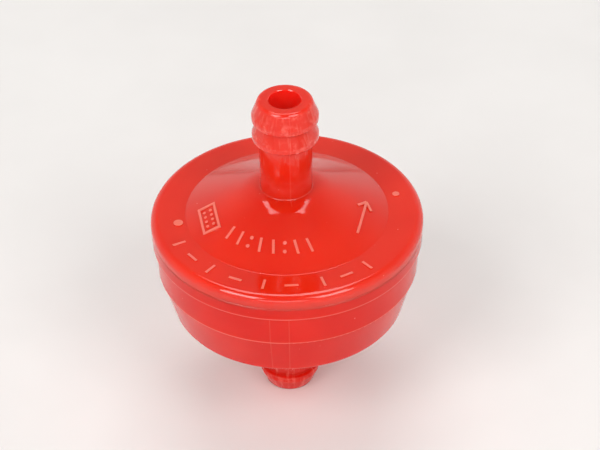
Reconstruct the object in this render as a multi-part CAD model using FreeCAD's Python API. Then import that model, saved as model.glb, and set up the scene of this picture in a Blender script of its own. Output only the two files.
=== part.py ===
"""In-line fuel filter for a small engine: two moulded nylon housing halves welded at a flange, with a hose
barb on each end, and a woven nylon screen in a moulded frame clamped between them.

Row frame: millimetres, +Z along the flow axis, origin at the centre of the bounding box. The front is -Y.
A place on the housing is given by its radius and by its bearing: degrees from the front, towards +X.
"""
import FreeCAD
import Part

import math
import os

Vector = FreeCAD.Vector

# Driving dimensions
OVERALL_LENGTH = 45.4
RIM_RADIUS = 17.35
WALL = 1.3
BORE_RADIUS = 2.0
STEM_RADIUS = 3.3
UPPER_BARB_RADIUS = 4.15
LOWER_BARB_RADIUS = 3.95
TIP_TAPER = 0.8  # how much smaller a nipple's tip is than its barbs, as a radius
NIPPLE_LENGTH = 12.95

# Levels along the axis
TIP_Z = OVERALL_LENGTH / 2
NIPPLE_BASE_Z = TIP_Z - NIPPLE_LENGTH
SHOULDER_Z = 5.65  # flat ring round the cap's cone
PARTING_Z = 3.85  # where the two halves meet
LEDGE_Z = PARTING_Z - 1.2  # the screen frame and the cap's tongue stand here
FLANGE_BOTTOM_Z = 2.1
STEP_Z = -2.1
BOWL_EDGE_Z = -7.8

# Radii of the outside
CONE_RADIUS = 12.9
FLANGE_RADIUS = RIM_RADIUS - 0.05
WALL_TOP_RADIUS = 16.95
WALL_STEP_RADIUS = 16.8
BAND_TOP_RADIUS = 16.58
BAND_BOTTOM_RADIUS = 15.2

# Welded joint and screen
TONGUE_OUTER_RADIUS = 16.48
TONGUE_INNER_RADIUS = 15.7
WELD_GAP = 0.02
FRAME_OUTER_RADIUS = 15.6
FRAME_INNER_RADIUS = 13.8
SCREEN_RADIUS = 14.4
THREAD = 0.12
SCREEN_OPENING = 0.15
SCREEN_CLEARANCE = 0.05
SCREEN_Z = PARTING_Z - 2 * THREAD - 0.01  # the screen's underside, so that its top is just below the cap

# Edge rounding
CRISP = 0.05
EASED = 0.15
TIP_EDGE = 0.5
CONE_FOOT_ROUNDING = 0.2
CONE_TOP_ROUNDING = 7.5
CONE_TOP_RADIUS = 4.6  # the cone flattens inside this radius, up to the nipple
PORT_ROUNDING = 0.4  # where the passage opens into the chamber
FLANGE_BEVEL = 0.15

# Moulded relief
RELIEF_HEIGHT = 0.14
RELIEF_DEPTH = 0.35
STROKE = 0.32

CONE_SLOPE = math.atan2(NIPPLE_BASE_Z - SHOULDER_Z, CONE_RADIUS - UPPER_BARB_RADIUS)


def rounded_loop(corners):
    """A closed wire in the XZ half plane through (radius, z, rounding) corners, each rounded by an arc."""
    edges = []
    ends = []
    count = len(corners)
    for i, (r, z, rounding) in enumerate(corners):
        here = Vector(r, 0, z)
        back = Vector(corners[i - 1][0], 0, corners[i - 1][1]) - here
        ahead = Vector(corners[(i + 1) % count][0], 0, corners[(i + 1) % count][1]) - here
        back.normalize()
        ahead.normalize()
        if rounding == 0:
            ends.append((here, here))
            continue
        half = back.getAngle(ahead) / 2
        start = here + back * (rounding / math.tan(half))
        stop = here + ahead * (rounding / math.tan(half))
        bisector = back + ahead
        bisector.normalize()
        middle = here + bisector * (rounding / math.sin(half) - rounding)
        edges.append(Part.Arc(start, middle, stop).toShape())
        ends.append((start, stop))
    for i in range(count):
        start = ends[i][1]
        stop = ends[(i + 1) % count][0]
        if start.distanceToPoint(stop) > 1e-6:
            edges.append(Part.LineSegment(start, stop).toShape())
    return Part.Wire(Part.__sortEdges__(edges))


def turned(corners):
    """The solid turned about Z from a closed profile."""
    face = Part.Face(rounded_loop(corners))
    solid = face.revolve(Vector(0, 0, 0), Vector(0, 0, 1), 360)
    return Part.Solid(solid.Shells[0]) if solid.Volume < 0 else solid


def nipple_corners(barb_radius):
    """A barbed nipple's outside, from its base to the bore's mouth, for a nipple that points up."""
    land = 0.7
    crests = (TIP_Z - 2.05, TIP_Z - 4.75)
    valley_radius = 3.55
    shoulder = 0.25
    crest_rounding = 0.25
    root_rounding = 0.1
    mouth_chamfer = 0.1
    return [
        (STEM_RADIUS, NIPPLE_BASE_Z, EASED),
        (STEM_RADIUS, crests[1] - land - shoulder, root_rounding),
        (barb_radius, crests[1] - land, EASED),
        (barb_radius, crests[1], crest_rounding),
        (valley_radius, crests[0] - land - shoulder, root_rounding),
        (barb_radius, crests[0] - land, EASED),
        (barb_radius, crests[0], crest_rounding),
        (barb_radius - TIP_TAPER, TIP_Z, TIP_EDGE),
        (BORE_RADIUS + mouth_chamfer, TIP_Z, 0),
        (BORE_RADIUS, TIP_Z - mouth_chamfer, 0),
    ]


def cone_z(radius):
    """Height of the cap's cone at a radius."""
    return SHOULDER_Z + (CONE_RADIUS - radius) * math.tan(CONE_SLOPE)


def on_cap(shape, radius, bearing, turn=0, conical=True):
    """Puts a mark on the cap: X runs round the cap, Y up towards the nipple, Z out of the surface."""
    slope = CONE_SLOPE if conical else 0
    angle = math.radians(bearing)
    outward = Vector(math.sin(angle), -math.cos(angle), 0)
    around = Vector(math.cos(angle), math.sin(angle), 0)
    normal = outward * math.sin(slope) + Vector(0, 0, math.cos(slope))
    uphill = normal.cross(around)
    height = cone_z(radius) if conical else SHOULDER_Z
    place = outward * radius + Vector(0, 0, height)
    placed = shape.copy()
    placed.rotate(Vector(0, 0, 0), Vector(0, 0, 1), turn)
    rotation = FreeCAD.Rotation(around, uphill, normal, "ZXY")
    placed.Placement = FreeCAD.Placement(place, rotation).multiply(placed.Placement)
    return placed


def bar(width, length, x=0, y=0):
    """A raised stroke, centred on (x, y) in its mark."""
    corner = Vector(x - width / 2, y - length / 2, -RELIEF_DEPTH)
    return Part.makeBox(width, length, RELIEF_DEPTH + RELIEF_HEIGHT, corner)


def dot(radius, x=0, y=0):
    """A raised round spot."""
    return Part.makeCylinder(radius, RELIEF_DEPTH + RELIEF_HEIGHT, Vector(x, y, -RELIEF_DEPTH))


def tally_marks():
    """Three pairs of strokes with two spots between the pairs, across the front of the cone."""
    radius = 9.5
    lean = 8
    stroke_length = 1.9
    stroke_bearings = (-47, -37, -20, -10, 7, 17)
    spot_bearings = (-28.5, -1.5)
    spot_radius = 0.24
    spot_offset = 0.6
    marks = [on_cap(bar(STROKE, stroke_length), radius, b, lean) for b in stroke_bearings]
    for bearing in spot_bearings:
        for side in (-1, 1):
            marks.append(on_cap(dot(spot_radius, 0, side * spot_offset), radius, bearing))
    return marks


def flow_arrow():
    """A long stroke with a two-stroke head, on the right of the cone."""
    radius = 10.0
    bearing = 70
    lean = 8
    half_length = 2.9
    head_stroke = 1.5
    head_angle = 38
    marks = [on_cap(bar(2 * half_length, STROKE), radius, bearing, lean)]
    for side in (-1, 1):
        stroke = bar(head_stroke, STROKE, -head_stroke / 2, 0)
        stroke.rotate(Vector(0, 0, 0), Vector(0, 0, 1), side * head_angle)
        stroke.translate(Vector(half_length, 0, 0))
        marks.append(on_cap(stroke, radius, bearing, lean))
    return marks


def screen_badge():
    """A plain frame with two rows of small spots, a sign for a screen, on the left of the cone."""
    radius = 10.2
    bearing = -72
    lean = -8
    long_side = 4.4
    short_side = 2.1
    spot_radius = 0.2
    spot_pitch = 0.85
    marks = [bar(long_side + STROKE, STROKE, 0, side * short_side / 2) for side in (-1, 1)]
    marks += [bar(STROKE, short_side, side * long_side / 2, 0) for side in (-1, 1)]
    for column in (-1.5, -0.5, 0.5, 1.5):
        for row in (-0.5, 0.5):
            marks.append(dot(spot_radius, column * spot_pitch, row * spot_pitch))
    return [on_cap(mark, radius, bearing, lean) for mark in marks]


def rim_ticks():
    """Short strokes round the front of the flat ring, set by turns across it and along it."""
    radius = 14.9
    tick_length = 1.7
    across_bearings = (-64, -39, -11, 17, 41)
    along_bearings = (-51.5, -25, 2, 29)
    ticks = [on_cap(bar(STROKE, tick_length), radius, b, conical=False) for b in across_bearings]
    ticks += [on_cap(bar(tick_length, STROKE), radius, b, conical=False) for b in along_bearings]
    return ticks


def mould_spots():
    """The gate's round stub on the right of the flat ring, and a broader round spot on its left."""
    gate = on_cap(dot(0.45), radius=14.3, bearing=102, conical=False)
    spot = on_cap(dot(0.6), radius=13.9, bearing=-80, conical=False)
    return [gate, spot]


def upper_housing():
    """The cap: barbed nipple, cone, flat ring, rounded rim and the tongue that is welded into the bowl."""
    rim_rounding = 1.0
    ceiling_drop = WALL / math.cos(CONE_SLOPE)
    ceiling_edge = CONE_RADIUS + (SHOULDER_Z - ceiling_drop - PARTING_Z) / math.tan(CONE_SLOPE)
    corners = nipple_corners(UPPER_BARB_RADIUS) + [
        (BORE_RADIUS, cone_z(BORE_RADIUS) - ceiling_drop, PORT_ROUNDING),
        (ceiling_edge, PARTING_Z, 0),
        (TONGUE_INNER_RADIUS, PARTING_Z, 0),
        (TONGUE_INNER_RADIUS, LEDGE_Z, 0),
        (TONGUE_OUTER_RADIUS, LEDGE_Z, 0),
        (TONGUE_OUTER_RADIUS, PARTING_Z, 0),
        (RIM_RADIUS - FLANGE_BEVEL, PARTING_Z, 0),
        (RIM_RADIUS, PARTING_Z + FLANGE_BEVEL, CRISP),
        (RIM_RADIUS, SHOULDER_Z, rim_rounding),
        (CONE_RADIUS, SHOULDER_Z, CONE_FOOT_ROUNDING),
        (CONE_TOP_RADIUS, cone_z(CONE_TOP_RADIUS), CONE_TOP_ROUNDING),
    ]
    marks = tally_marks() + flow_arrow() + screen_badge() + rim_ticks() + mould_spots()
    return turned(corners).fuse(marks).removeSplitter()


def wall_rib(bearing):
    """An upright rib inside the bowl's wall, which holds the screen frame up."""
    thickness = 0.9
    foot_radius = 12.9
    clear_of_lip = 0.2
    points = [
        (foot_radius, LEDGE_Z),
        (TONGUE_OUTER_RADIUS - clear_of_lip, LEDGE_Z),
        (WALL_STEP_RADIUS - WALL / 2, STEP_Z),
        (BAND_BOTTOM_RADIUS - WALL / 2, BOWL_EDGE_Z + WALL),
        (foot_radius, BOWL_EDGE_Z + WALL / 4),
    ]
    outline = Part.makePolygon([Vector(r, -thickness / 2, z) for r, z in points + points[:1]])
    rib = Part.Face(outline).extrude(Vector(0, thickness, 0))
    rib.rotate(Vector(0, 0, 0), Vector(0, 0, 1), bearing)
    return rib


def lower_housing():
    """The bowl: weld flange, stepped and tapered wall, shallow conical floor and second nipple."""
    rib_count = 8
    floor_rounding = 0.8
    flange_rounding = 0.2
    bowl_rounding = 0.55
    floor_radius = BAND_BOTTOM_RADIUS - WALL
    floor_slope = (NIPPLE_BASE_Z + BOWL_EDGE_Z) / (BAND_BOTTOM_RADIUS - STEM_RADIUS)
    floor_edge_z = BOWL_EDGE_Z + WALL
    lip_radius = TONGUE_OUTER_RADIUS + WELD_GAP
    nipple = [(r, -z, rounding) for r, z, rounding in nipple_corners(LOWER_BARB_RADIUS)]
    corners = nipple + [
        (BORE_RADIUS, floor_edge_z - (floor_radius - BORE_RADIUS) * floor_slope, PORT_ROUNDING),
        (floor_radius, floor_edge_z, floor_rounding),
        (WALL_STEP_RADIUS - WALL, STEP_Z, 0),
        (WALL_TOP_RADIUS - WALL, LEDGE_Z, 0),
        (lip_radius, LEDGE_Z, 0),
        (lip_radius, PARTING_Z, 0),
        (FLANGE_RADIUS - FLANGE_BEVEL, PARTING_Z, 0),
        (FLANGE_RADIUS, PARTING_Z - FLANGE_BEVEL, CRISP),
        (FLANGE_RADIUS, FLANGE_BOTTOM_Z, flange_rounding),
        (WALL_TOP_RADIUS, FLANGE_BOTTOM_Z, EASED),
        (WALL_STEP_RADIUS, STEP_Z, EASED),
        (BAND_TOP_RADIUS, STEP_Z, CRISP),
        (BAND_BOTTOM_RADIUS, BOWL_EDGE_Z, bowl_rounding),
    ]
    ribs = [wall_rib(360 / rib_count * (i + 0.5)) for i in range(rib_count)]
    return turned(corners).fuse(ribs).removeSplitter()


def screen_frame():
    """The moulded frame: a ring with a seat for the screen, six spokes and a hub."""
    spoke_width = 1.0
    spoke_height = 0.9
    spoke_count = 6
    hub_radius = 1.6
    spoke_end_radius = FRAME_INNER_RADIUS + 0.4
    frame = turned([
        (FRAME_INNER_RADIUS, LEDGE_Z, 0),
        (FRAME_OUTER_RADIUS, LEDGE_Z, 0),
        (FRAME_OUTER_RADIUS, PARTING_Z, 0),
        (SCREEN_RADIUS, PARTING_Z, 0),
        (SCREEN_RADIUS, SCREEN_Z, 0),
        (FRAME_INNER_RADIUS, SCREEN_Z, 0),
    ])
    spokes_bottom = SCREEN_Z - spoke_height
    parts = [Part.makeCylinder(hub_radius, spoke_height, Vector(0, 0, spokes_bottom))]
    for i in range(spoke_count):
        corner = Vector(0, -spoke_width / 2, spokes_bottom)
        spoke = Part.makeBox(spoke_end_radius, spoke_width, spoke_height, corner)
        spoke.rotate(Vector(0, 0, 0), Vector(0, 0, 1), 360 / spoke_count * i)
        parts.append(spoke)
    return frame.fuse(parts).removeSplitter()


def screen_threads(bottom_z, bearing):
    """One layer of the screen: parallel square threads that end on the screen's round edge."""
    pitch = THREAD + SCREEN_OPENING
    edge = SCREEN_RADIUS - SCREEN_CLEARANCE
    rows = int((edge - pitch) / pitch)
    threads = []
    for i in range(-rows, rows + 1):
        half = math.sqrt(edge**2 - (abs(i) * pitch + THREAD / 2) ** 2)
        corner = Vector(-half, i * pitch - THREAD / 2, bottom_z)
        threads.append(Part.makeBox(2 * half, THREAD, THREAD, corner))
    layer = Part.makeCompound(threads)
    layer.rotate(Vector(0, 0, 0), Vector(0, 0, 1), bearing)
    return layer


def main():
    nodes = {
        "upper_housing": upper_housing(),
        "lower_housing": lower_housing(),
        "screen_frame": screen_frame(),
        "screen_weft": screen_threads(SCREEN_Z, 0),
        "screen_warp": screen_threads(SCREEN_Z + THREAD, 90),
    }
    os.makedirs("parts", exist_ok=True)
    for name, shape in nodes.items():
        shape.exportStep(os.path.join("parts", name + ".step"))
        print(name, "valid", shape.isValid(), "solids", len(shape.Solids), "volume", round(shape.Volume, 1))


main()
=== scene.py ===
"""Looks for the in-line fuel filter: materials, weld flash, woven screen, stage, lights and camera.

Metres, in the row frame: +Z along the flow axis, the front is -Y. The CAD housing halves and the
screen's frame stay as they are and get better materials. The screen's flat thread layers are
replaced by woven threads.
"""

import math

import bmesh
import bpy
from mathutils import Matrix, Vector, noise


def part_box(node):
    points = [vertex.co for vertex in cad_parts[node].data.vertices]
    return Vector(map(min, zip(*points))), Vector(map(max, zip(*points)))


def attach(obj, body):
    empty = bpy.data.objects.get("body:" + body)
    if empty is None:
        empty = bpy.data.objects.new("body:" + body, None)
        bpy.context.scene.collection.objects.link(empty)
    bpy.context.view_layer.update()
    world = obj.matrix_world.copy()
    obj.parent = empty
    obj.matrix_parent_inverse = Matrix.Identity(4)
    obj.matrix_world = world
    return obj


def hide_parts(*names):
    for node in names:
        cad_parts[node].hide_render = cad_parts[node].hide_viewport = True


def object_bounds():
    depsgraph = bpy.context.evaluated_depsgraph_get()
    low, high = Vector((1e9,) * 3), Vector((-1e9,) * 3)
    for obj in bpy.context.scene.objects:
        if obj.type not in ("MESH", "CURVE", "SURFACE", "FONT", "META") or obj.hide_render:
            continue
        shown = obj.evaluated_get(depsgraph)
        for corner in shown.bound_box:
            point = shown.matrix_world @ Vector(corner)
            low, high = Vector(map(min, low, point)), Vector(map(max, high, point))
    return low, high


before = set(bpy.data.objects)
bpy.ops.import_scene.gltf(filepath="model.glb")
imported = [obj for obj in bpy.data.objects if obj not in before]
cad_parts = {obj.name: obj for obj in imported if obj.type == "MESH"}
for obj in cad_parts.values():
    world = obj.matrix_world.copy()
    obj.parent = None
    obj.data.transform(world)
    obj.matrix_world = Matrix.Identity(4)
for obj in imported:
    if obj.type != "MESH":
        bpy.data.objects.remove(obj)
cad_low, cad_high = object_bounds()

MM = 0.001

# Places, from the frame
TIP_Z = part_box("upper_housing")[1].z
PARTING_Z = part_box("lower_housing")[1].z
RIM_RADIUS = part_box("upper_housing")[1].x
SCREEN_LOW, SCREEN_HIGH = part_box("screen_weft")
FLOOR_Z = cad_low.z

# The housing's shape, as the CAD part has it
SHOULDER_Z = PARTING_Z + 1.8 * MM
CONE_RADIUS = 12.9 * MM
NIPPLE_BASE_Z = TIP_Z - 12.95 * MM
BARB_RADIUS = 4.15 * MM
CONE_RISE = (NIPPLE_BASE_Z - SHOULDER_Z) / (CONE_RADIUS - BARB_RADIUS)
TIP_SHOULDER_RADIUS = 3.4 * MM
NIPPLE_REACH = 4.3 * MM  # the nipples lie inside this radius
BOWL_WALL_RADIUS = 14.8 * MM  # the bowl's outer wall lies outside this radius
EDGE_RINGS = (  # radius and height of the bowl's outer edges
    (RIM_RADIUS - 0.05 * MM, PARTING_Z - 1.75 * MM),
    (RIM_RADIUS - 0.55 * MM, PARTING_Z - 5.95 * MM),
    (RIM_RADIUS - 2.35 * MM, PARTING_Z - 11.55 * MM),
)
SCREEN_OPENING = 0.15 * MM

# Bearings of the mould's seams, in degrees from the front towards +X
NIPPLE_SEAMS = (9, -171)
BOWL_SEAMS = (-7.5, 0.5, 172.5)

# Reds of the nylon: pale where it is raised or worn, and pale as painted highlight on edges, seams and
# streaks;
# in small pale specks; and a brighter red in the passages, which is painted light
PALE_RED = (0.86, 0.19, 0.14)
SPECK_RED = (0.95, 0.35, 0.30)
LIT_PASSAGE_RED = (0.88, 0.022, 0.012)

# Camera: the photograph looks square down on the board on which the filter lies tilted
CAMERA_PLACE = Vector((1.64, -182.17, 147.4)) * MM
CAMERA_TILT = math.radians(51.64)
CAMERA_ROLL = math.radians(0.8)
CAMERA_LENS = 109.0
SENSOR_WIDTH = 36.0

# Soft lights: name, azimuth from the front towards +X, elevation, distance and sides in metres,
# and brightness. Degrees for both angles.
LIGHTS = (
    ("overhead", 181.5, 70, 0.80, (0.47, 0.35), 0.31),
    ("key", -42, 43, 0.80, (0.36, 0.36), 0.42),
    ("fill", 40, 45, 0.80, (0.36, 0.36), 0.34),
    ("front", -4, 20, 0.80, (0.50, 0.12), 0.10),
)


class Shader:
    """A material under construction: its nodes are added by name and its links by socket."""

    def __init__(self, name):
        self.material = bpy.data.materials.new(name)
        self.material.use_nodes = True
        self.tree = self.material.node_tree
        self.surface = next(n for n in self.tree.nodes if n.type == "BSDF_PRINCIPLED")

    def node(self, kind, **settings):
        made = self.tree.nodes.new(kind)
        for key, value in settings.items():
            setattr(made, key, value)
        return made

    def link(self, source, target):
        self.tree.links.new(source, target)

    def feed(self, socket, value):
        """Sets an input socket from a number or vector, or links it from an output socket."""
        if isinstance(value, bpy.types.NodeSocket):
            self.link(value, socket)
        else:
            socket.default_value = value

    def math(self, operation, a, b=0.0):
        made = self.node("ShaderNodeMath", operation=operation)
        self.feed(made.inputs[0], a)
        self.feed(made.inputs[1], b)
        return made.outputs[0]

    def length(self, a, b):
        """The long side of the right-angled triangle whose short sides are a and b."""
        square = self.math("ADD", self.math("MULTIPLY", a, a), self.math("MULTIPLY", b, b))
        return self.math("SQRT", square)

    def ramp(self, value, low, high, out_low=0.0, out_high=1.0):
        """A value carried smoothly from low..high to out_low..out_high."""
        made = self.node("ShaderNodeMapRange", interpolation_type="SMOOTHSTEP")
        for index, number in enumerate((value, low, high, out_low, out_high)):
            self.feed(made.inputs[index], number)
        return made.outputs[0]

    def noise(self, coordinates, size, detail=3.0):
        """Noise whose features are about size metres across."""
        made = self.node("ShaderNodeTexNoise")
        self.link(coordinates, made.inputs["Vector"])
        made.inputs["Scale"].default_value = 1.0 / size
        made.inputs["Detail"].default_value = detail
        made.inputs["Roughness"].default_value = 0.55
        return made.outputs["Fac"]

    def mix(self, share, a, b):
        """Two colours, each an RGB tuple or a socket, mixed by share."""
        made = self.node("ShaderNodeMix", data_type="RGBA")
        colours = [s for s in made.inputs if s.type == "RGBA"]
        self.feed(made.inputs["Factor"], share)
        for socket, colour in zip(colours, (a, b)):
            self.feed(socket, colour if isinstance(colour, bpy.types.NodeSocket) else (*colour, 1.0))
        return next(s for s in made.outputs if s.type == "RGBA")

    def bump(self, height, distance, strength, below=None):
        """The surface's normal with height added to it, on top of an earlier bump."""
        made = self.node("ShaderNodeBump")
        self.link(height, made.inputs["Height"])
        made.inputs["Distance"].default_value = distance
        made.inputs["Strength"].default_value = strength
        if below is not None:
            self.link(below, made.inputs["Normal"])
        return made.outputs["Normal"]

    def coordinates(self):
        return self.node("ShaderNodeTexCoord").outputs["Object"]

    def connect(self, **sources):
        """Links sockets to the surface's inputs, named with _ for a space."""
        for key, source in sources.items():
            self.link(source, self.surface.inputs[key.replace("_", " ")])

    def set(self, **values):
        """Sets the surface's uniform inputs, named with _ for a space."""
        for key, value in values.items():
            self.surface.inputs[key.replace("_", " ")].default_value = value


def axis_places(shader, place):
    """Radius, height and bearing (radians from the front towards +X) of each point."""
    split = shader.node("ShaderNodeSeparateXYZ")
    shader.link(place, split.inputs[0])
    x, y, z = split.outputs
    bearing = shader.math("ARCTAN2", x, shader.math("MULTIPLY", y, -1.0))
    return shader.length(x, y), z, bearing


def near_ring(shader, radius, z, ring_radius, ring_z, full, none):
    """1 up to full metres from a ring round the axis, and 0 from none metres on."""
    across = shader.math("SUBTRACT", radius, ring_radius)
    along = shader.math("SUBTRACT", z, ring_z)
    return shader.ramp(shader.length(across, along), full, none, 1.0, 0.0)


def on_nipples(shader, radius):
    """1 on the nipples and 0 on the rest of the housing."""
    return shader.ramp(radius, NIPPLE_REACH, NIPPLE_REACH + 0.1 * MM, 1.0, 0.0)


def edge_highlight_mask(shader, radius, z):
    """Painted highlight: strongest on the bowl's outer edges, a pale line standing in for the light
    their roundings catch.
    """
    total = 0.0
    for ring_radius, ring_z in EDGE_RINGS:
        near = near_ring(shader, radius, z, ring_radius, ring_z, 0.10 * MM, 0.34 * MM)
        total = shader.math("MAXIMUM", total, near)
    return total


def seam_lines(shader, radius, bearing, seams):
    """Hairlines of even width at the seams' bearings."""
    total = 0.0
    for degrees in seams:
        angle = shader.math("ABSOLUTE", shader.math("SUBTRACT", bearing, math.radians(degrees)))
        width = shader.math("MULTIPLY", angle, radius)
        total = shader.math("MAXIMUM", total, shader.ramp(width, 0.03 * MM, 0.10 * MM, 1.0, 0.0))
    return total


def seam_and_sheen_mask(shader, radius, z, bearing):
    """Hairlines up the nipples and down the bowl's front and back, where the mould's parts met; bumped
    as ridges and tinted pale as a painted highlight.
    """
    outside = shader.ramp(radius, 3.1 * MM, 3.2 * MM)
    nipple = shader.math("MULTIPLY", on_nipples(shader, radius), outside)
    below_flange = shader.ramp(z, PARTING_Z - 2.1 * MM, PARTING_Z - 1.9 * MM, 1.0, 0.0)
    wall = shader.ramp(radius, BOWL_WALL_RADIUS, BOWL_WALL_RADIUS + 0.2 * MM)
    bowl = shader.math("MULTIPLY", below_flange, wall)
    nipple_lines = shader.math("MULTIPLY", seam_lines(shader, radius, bearing, NIPPLE_SEAMS), nipple)
    bowl_lines = shader.math("MULTIPLY", seam_lines(shader, radius, bearing, BOWL_SEAMS), bowl)
    return shader.math("MAXIMUM", nipple_lines, bowl_lines)


def wear_mask(shader, place, radius, z):
    """Patches of scuffing on the barbs' edges and on the shoulders of both nipples' tips."""
    height = shader.math("ABSOLUTE", z)
    shoulder_z = TIP_Z - 0.35 * MM
    shoulder = near_ring(shader, radius, height, TIP_SHOULDER_RADIUS, shoulder_z, 0.25 * MM, 0.75 * MM)
    barbs = shader.ramp(radius, BARB_RADIUS - 0.45 * MM, BARB_RADIUS - 0.10 * MM)
    past_foot = shader.ramp(height, NIPPLE_BASE_Z + 3 * MM, NIPPLE_BASE_Z + 4 * MM)
    edges = shader.math("MAXIMUM", shoulder, shader.math("MULTIPLY", barbs, past_foot))
    patches = shader.ramp(shader.noise(place, 0.9 * MM, detail=5.0), 0.47, 0.68)
    return shader.math("MULTIPLY", edges, patches)


def draw_marks_and_sheen(shader, radius, z, bearing):
    """Short upright streaks left on the nipples where the mould slid off them, bumped, and tinted pale
    as a painted streaky highlight.
    """
    unrolled_radius = 4 * MM
    squash = 0.18  # along the axis, which makes streaks of the noise
    place = shader.node("ShaderNodeCombineXYZ")
    shader.link(shader.math("MULTIPLY", bearing, unrolled_radius), place.inputs[0])
    shader.link(shader.math("MULTIPLY", z, squash), place.inputs[1])
    streaks = shader.noise(place.outputs[0], 0.6 * MM)
    height = shader.math("ABSOLUTE", z)
    outside = shader.ramp(radius, 2.7 * MM, 2.9 * MM)
    across = shader.math("MULTIPLY", outside, on_nipples(shader, radius))
    past_foot = shader.ramp(height, NIPPLE_BASE_Z + 1 * MM, NIPPLE_BASE_Z + 5 * MM)
    short_of_tip = shader.ramp(height, TIP_Z - 0.5 * MM, TIP_Z - 0.1 * MM, 1.0, 0.0)
    along = shader.math("MULTIPLY", past_foot, short_of_tip)
    return shader.math("MULTIPLY", streaks, shader.math("MULTIPLY", across, along))


def relief_mask(shader, radius, z):
    """1 on the marks that stand out of the cap's cone and flat ring, and 0 elsewhere."""
    inside = shader.math("MAXIMUM", shader.math("SUBTRACT", CONE_RADIUS, radius), 0.0)
    surface_z = shader.math("ADD", shader.math("MULTIPLY", inside, CONE_RISE), SHOULDER_Z)
    proud = shader.ramp(shader.math("SUBTRACT", z, surface_z), 0.07 * MM, 0.12 * MM)
    off_nipple = shader.ramp(radius, 5.6 * MM, 5.8 * MM)
    return shader.math("MULTIPLY", proud, off_nipple)


def housing_material(name, deep, bright, ior):
    """Glossy red nylon, a little translucent, clouded between two reds, paler where it is worn, with
    painted highlights on edges, seams and streaks and painted light in the passages.
    """
    shader = Shader(name)
    place = shader.coordinates()
    radius, z, bearing = axis_places(shader, place)
    specks = shader.ramp(shader.noise(place, 0.5 * MM, detail=1.0), 0.78, 0.83)
    seams = seam_and_sheen_mask(shader, radius, z, bearing)
    marks = draw_marks_and_sheen(shader, radius, z, bearing)
    wear = wear_mask(shader, place, radius, z)
    edges = edge_highlight_mask(shader, radius, z)
    relief = relief_mask(shader, radius, z)

    clouding = shader.ramp(shader.noise(place, 8 * MM, detail=1.0), 0.25, 0.75)
    body = shader.mix(clouding, deep, bright)
    tints = (
        # small pale specks scattered at random
        (shader.math("MULTIPLY", specks, 0.35), SPECK_RED),
        # painted light: the inside of the bores a brighter red, for light coming through the translucent
        # walls
        (shader.ramp(radius, 2.02 * MM, 2.08 * MM, 1.0, 0.0), LIT_PASSAGE_RED),
        # painted highlight: the seams' hairlines tinted pale, on top of their bumped ridges
        (shader.math("MULTIPLY", seams, 0.14), PALE_RED),
        # painted highlight: the nipples' streaks tinted pale
        (shader.ramp(marks, 0.54, 0.70, 0.0, 0.30), PALE_RED),
        (shader.math("MULTIPLY", wear, 0.45), PALE_RED),
        # painted highlight: a pale line along the bowl's outer edges
        (shader.math("MULTIPLY", edges, 0.65), PALE_RED),
        (shader.math("MULTIPLY", relief, 0.9), PALE_RED),
    )
    for share, tint in tints:
        body = shader.mix(share, body, tint)
    shader.connect(Base_Color=body)
    housing_finish(shader, place, seams, marks, wear)
    shader.set(IOR=ior, Subsurface_Weight=0.6, Subsurface_Scale=2.2 * MM)
    shader.set(Subsurface_Radius=(1.0, 0.12, 0.06))
    return shader.material


def housing_finish(shader, place, seams, marks, wear):
    """Smears, waves, fine grain and hairline scratches, with ridges at the seams and the streaks."""
    stretch = shader.node("ShaderNodeMapping")
    stretch.inputs["Rotation"].default_value = (0.4, 0.3, 0.9)
    stretch.inputs["Scale"].default_value = (0.06, 1.0, 1.0)
    shader.link(place, stretch.inputs["Vector"])
    scratches = shader.noise(stretch.outputs[0], 0.12 * MM, detail=1.0)

    rough = shader.ramp(shader.noise(place, 3 * MM, detail=4.0), 0.35, 0.80, 0.05, 0.15)
    rough = shader.math("ADD", rough, shader.math("MULTIPLY", wear, 0.2))
    waves = shader.bump(shader.noise(place, 3.5 * MM, detail=1.0), 0.04 * MM, 0.35)
    grain = shader.bump(shader.noise(place, 0.25 * MM, detail=2.0), 0.002 * MM, 0.5, below=waves)
    lines = shader.bump(shader.ramp(scratches, 0.70, 0.80), 0.004 * MM, 0.5, below=grain)
    ridges = shader.bump(seams, 0.02 * MM, 0.5, below=lines)
    streaks = shader.bump(marks, 0.08 * MM, 0.8, below=ridges)
    shader.connect(Roughness=rough, Normal=streaks)


def frame_material():
    """Natural nylon of the screen's frame: creamy, satin, with faint clouding."""
    shader = Shader("frame_natural_nylon")
    place = shader.coordinates()
    clouding = shader.ramp(shader.noise(place, 4 * MM), 0.3, 0.7)
    shader.connect(
        Base_Color=shader.mix(clouding, (0.78, 0.72, 0.58), (0.86, 0.82, 0.70)),
        Roughness=shader.ramp(shader.noise(place, 1.5 * MM), 0.3, 0.7, 0.34, 0.5),
        Normal=shader.bump(shader.noise(place, 0.3 * MM), 0.01 * MM, 0.5),
    )
    shader.set(IOR=1.53, Subsurface_Weight=0.25, Subsurface_Scale=1.0 * MM)
    return shader.material


def thread_material():
    """Monofilament of the screen: pale, glossy and a little uneven along its length."""
    shader = Shader("screen_monofilament")
    uneven = shader.ramp(shader.noise(shader.coordinates(), 0.8 * MM), 0.3, 0.7)
    shader.connect(
        Base_Color=shader.mix(uneven, (0.80, 0.77, 0.68), (0.92, 0.90, 0.84)),
        Roughness=shader.ramp(uneven, 0.0, 1.0, 0.22, 0.36),
    )
    shader.set(IOR=1.53, Subsurface_Weight=0.3, Subsurface_Scale=0.2 * MM)
    return shader.material


def piece(name, mesh, material):
    """A shown piece on the filter's one body."""
    made = bpy.data.objects.new(name, mesh)
    bpy.context.scene.collection.objects.link(made)
    made.data.materials.append(material)
    for polygon in made.data.polygons:
        polygon.use_smooth = True
    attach(made, "root")
    return made


def finished_mesh(made, name):
    """A mesh out of a bmesh, which is freed."""
    mesh = bpy.data.meshes.new(name)
    made.to_mesh(mesh)
    made.free()
    return mesh


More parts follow.
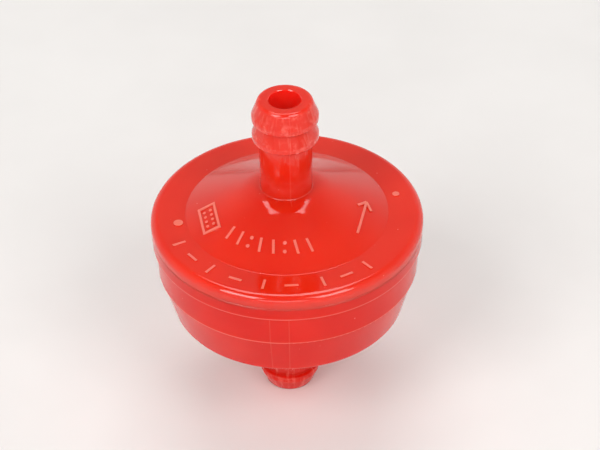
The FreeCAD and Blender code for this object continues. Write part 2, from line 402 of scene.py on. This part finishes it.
def tube_mesh(name, path, closed, radius_at, sides):
    """A round tube along path, closed into a ring or capped; radius_at gives its radius by index."""
    made = bmesh.new()
    count = len(path)
    rings = []
    for i, here in enumerate(path):
        ahead = path[(i + 1) % count] if closed or i < count - 1 else here
        behind = path[i - 1] if closed or i > 0 else here
        along = (ahead - behind).normalized()
        side = along.cross(Vector((0, 0, 1))).normalized()
        up = side.cross(along)
        ring = []
        for k in range(sides):
            turn = 2 * math.pi * k / sides
            outward = side * math.cos(turn) + up * math.sin(turn)
            ring.append(made.verts.new(here + outward * radius_at(i)))
        rings.append(ring)
    for i in range(count if closed else count - 1):
        a, b = rings[i], rings[(i + 1) % count]
        for k in range(sides):
            made.faces.new((a[k], a[(k + 1) % sides], b[(k + 1) % sides], b[k]))
    if not closed:
        made.faces.new(rings[0][::-1])
        made.faces.new(rings[-1])
    bmesh.ops.recalc_face_normals(made, faces=made.faces)
    return finished_mesh(made, name)


def weld_flash(material):
    """The thin uneven bead that squeezed out between the two halves when they were welded."""
    points = 240
    sides = 8
    ring_radius = RIM_RADIUS - 0.13 * MM
    bead_radius = 0.14 * MM
    unevenness = 0.03 * MM
    wandering = 0.02 * MM

    def uneven(i, scale, level):
        """Noise that closes on itself round the ring; a larger scale makes it busier."""
        turn = 2 * math.pi * i / points
        return noise.noise(Vector((math.cos(turn) * scale, math.sin(turn) * scale, level)))

    def thickness(i):
        return bead_radius + unevenness * uneven(i, 9, 3)

    path = []
    for i in range(points):
        turn = 2 * math.pi * i / points
        wander = uneven(i, 6, 0) * wandering
        reach = ring_radius + wander
        path.append(Vector((math.cos(turn) * reach, math.sin(turn) * reach, PARTING_Z + wander * 1.5)))
    bead = tube_mesh("weld_flash", path, True, thickness, sides)
    piece("weld_flash", bead, material)


def thread_path(offset, reach, direction, first_up, level, pitch, rise):
    """A thread's line, along X (direction 0) or Y (1): up and down over the crossings, in flat waves."""
    rows = int(reach / pitch)
    path = []
    for k in range(-rows, rows + 1):
        up = 1 if (k + first_up) % 2 == 0 else -1
        for share in (-0.25, 0.25):
            along = (k + share) * pitch
            flat = (along, offset) if direction == 0 else (offset, along)
            path.append(Vector((*flat, level + up * rise)))
    return path


def woven_layer(name, direction, node, material):
    """All threads of one direction of a plain weave, as one piece that stands for a CAD layer."""
    thread = SCREEN_HIGH.z - SCREEN_LOW.z
    pitch = thread + SCREEN_OPENING
    rise = thread * 0.5
    thread_radius = thread * 0.48
    sides = 4
    edge = SCREEN_HIGH.x
    rows = int((edge - pitch) / pitch)
    made = bmesh.new()
    for row in range(-rows, rows + 1):
        reach = math.sqrt(edge**2 - (row * pitch) ** 2) - pitch / 2
        if reach < 2 * pitch:
            continue
        path = thread_path(row * pitch, reach, direction, row + direction, SCREEN_HIGH.z, pitch, rise)
        mesh = tube_mesh("thread", path, False, lambda i: thread_radius, sides)
        made.from_mesh(mesh)
        bpy.data.meshes.remove(mesh)
    layer = piece(name, finished_mesh(made, name), material)
    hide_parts(node)


def dress_cad_nodes(materials):
    """Gives each carried-over CAD node its material."""
    for name, material in materials.items():
        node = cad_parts[name]
        node.data.materials.clear()
        node.data.materials.append(material)


def stage_and_light():
    """A pale floor, a pale surround and soft lights."""
    bpy.ops.mesh.primitive_plane_add(size=6.0, location=(0, 0, FLOOR_Z))
    floor = bpy.context.object
    floor.name = "floor"
    shader = Shader("floor_pale")
    grain = shader.ramp(shader.noise(shader.coordinates(), 30 * MM), 0.3, 0.7)
    shader.connect(Base_Color=shader.mix(grain, (0.80, 0.78, 0.76), (0.83, 0.81, 0.79)))
    shader.set(Roughness=0.6)
    floor.data.materials.append(shader.material)

    surround()
    for light in LIGHTS:
        area_light(*light)


def surround():
    """A soft surround: pale near the horizon and dimmer overhead."""
    world = bpy.data.worlds.new("pale_surround")
    bpy.context.scene.world = world
    world.use_nodes = True
    tree = world.node_tree
    background = tree.nodes["Background"]
    place = tree.nodes.new("ShaderNodeTexCoord")
    split = tree.nodes.new("ShaderNodeSeparateXYZ")
    tree.links.new(place.outputs["Generated"], split.inputs[0])
    ramp = tree.nodes.new("ShaderNodeValToRGB")
    tree.links.new(split.outputs["Z"], ramp.inputs["Fac"])
    ramp.color_ramp.elements[0].position = 0.15
    ramp.color_ramp.elements[0].color = (0.84, 0.81, 0.79, 1.0)
    ramp.color_ramp.elements[1].position = 0.85
    ramp.color_ramp.elements[1].color = (0.20, 0.20, 0.20, 1.0)
    tree.links.new(ramp.outputs["Color"], background.inputs["Color"])
    background.inputs["Strength"].default_value = 1.0


def area_light(name, azimuth, elevation, distance, sides, brightness):
    """A soft light aimed at the filter. Its brightness is what it adds to a white surface facing it."""
    a = math.radians(azimuth)
    e = math.radians(elevation)
    towards = Vector((math.sin(a) * math.cos(e), -math.cos(a) * math.cos(e), math.sin(e)))
    data = bpy.data.lights.new(name, "AREA")
    data.shape = "RECTANGLE"
    data.size, data.size_y = sides
    data.energy = brightness * (math.pi * distance) ** 2
    lamp = bpy.data.objects.new(name, data)
    lamp.location = towards * distance
    lamp.rotation_mode = "QUATERNION"
    lamp.rotation_quaternion = (-towards).to_track_quat("-Z", "Y")
    bpy.context.scene.collection.objects.link(lamp)


def add_camera():
    """The photograph's view: tilt is from straight down, and roll is about the line of sight."""
    data = bpy.data.cameras.new("camera")
    data.sensor_width = SENSOR_WIDTH
    data.lens = CAMERA_LENS
    data.clip_start = 0.01
    data.clip_end = 20.0
    camera = bpy.data.objects.new("camera", data)
    turn = Matrix.Rotation(CAMERA_TILT, 4, "X") @ Matrix.Rotation(-CAMERA_ROLL, 4, "Z")
    camera.matrix_world = Matrix.Translation(CAMERA_PLACE) @ turn
    bpy.context.scene.collection.objects.link(camera)
    bpy.context.scene.camera = camera


bpy.context.scene.view_settings.view_transform = "Standard"
add_camera()
cap_nylon = housing_material("cap_red_nylon", (0.68, 0.017, 0.004), (0.73, 0.024, 0.007), 1.55)
# painted shade: the bowl's reds are deeper than the cap's, for the dim surroundings its walls reflect
shaded_bowl_nylon = housing_material("bowl_red_nylon_painted_shade", (0.63, 0.008, 0.002), (0.69, 0.013, 0.004), 1.36)
threads = thread_material()
dress_cad_nodes({
    "upper_housing": cap_nylon,
    "lower_housing": shaded_bowl_nylon,
    "screen_frame": frame_material(),
})
weld_flash(cap_nylon)
woven_layer("woven_weft", 0, "screen_weft", threads)
woven_layer("woven_warp", 1, "screen_warp", threads)
stage_and_light()
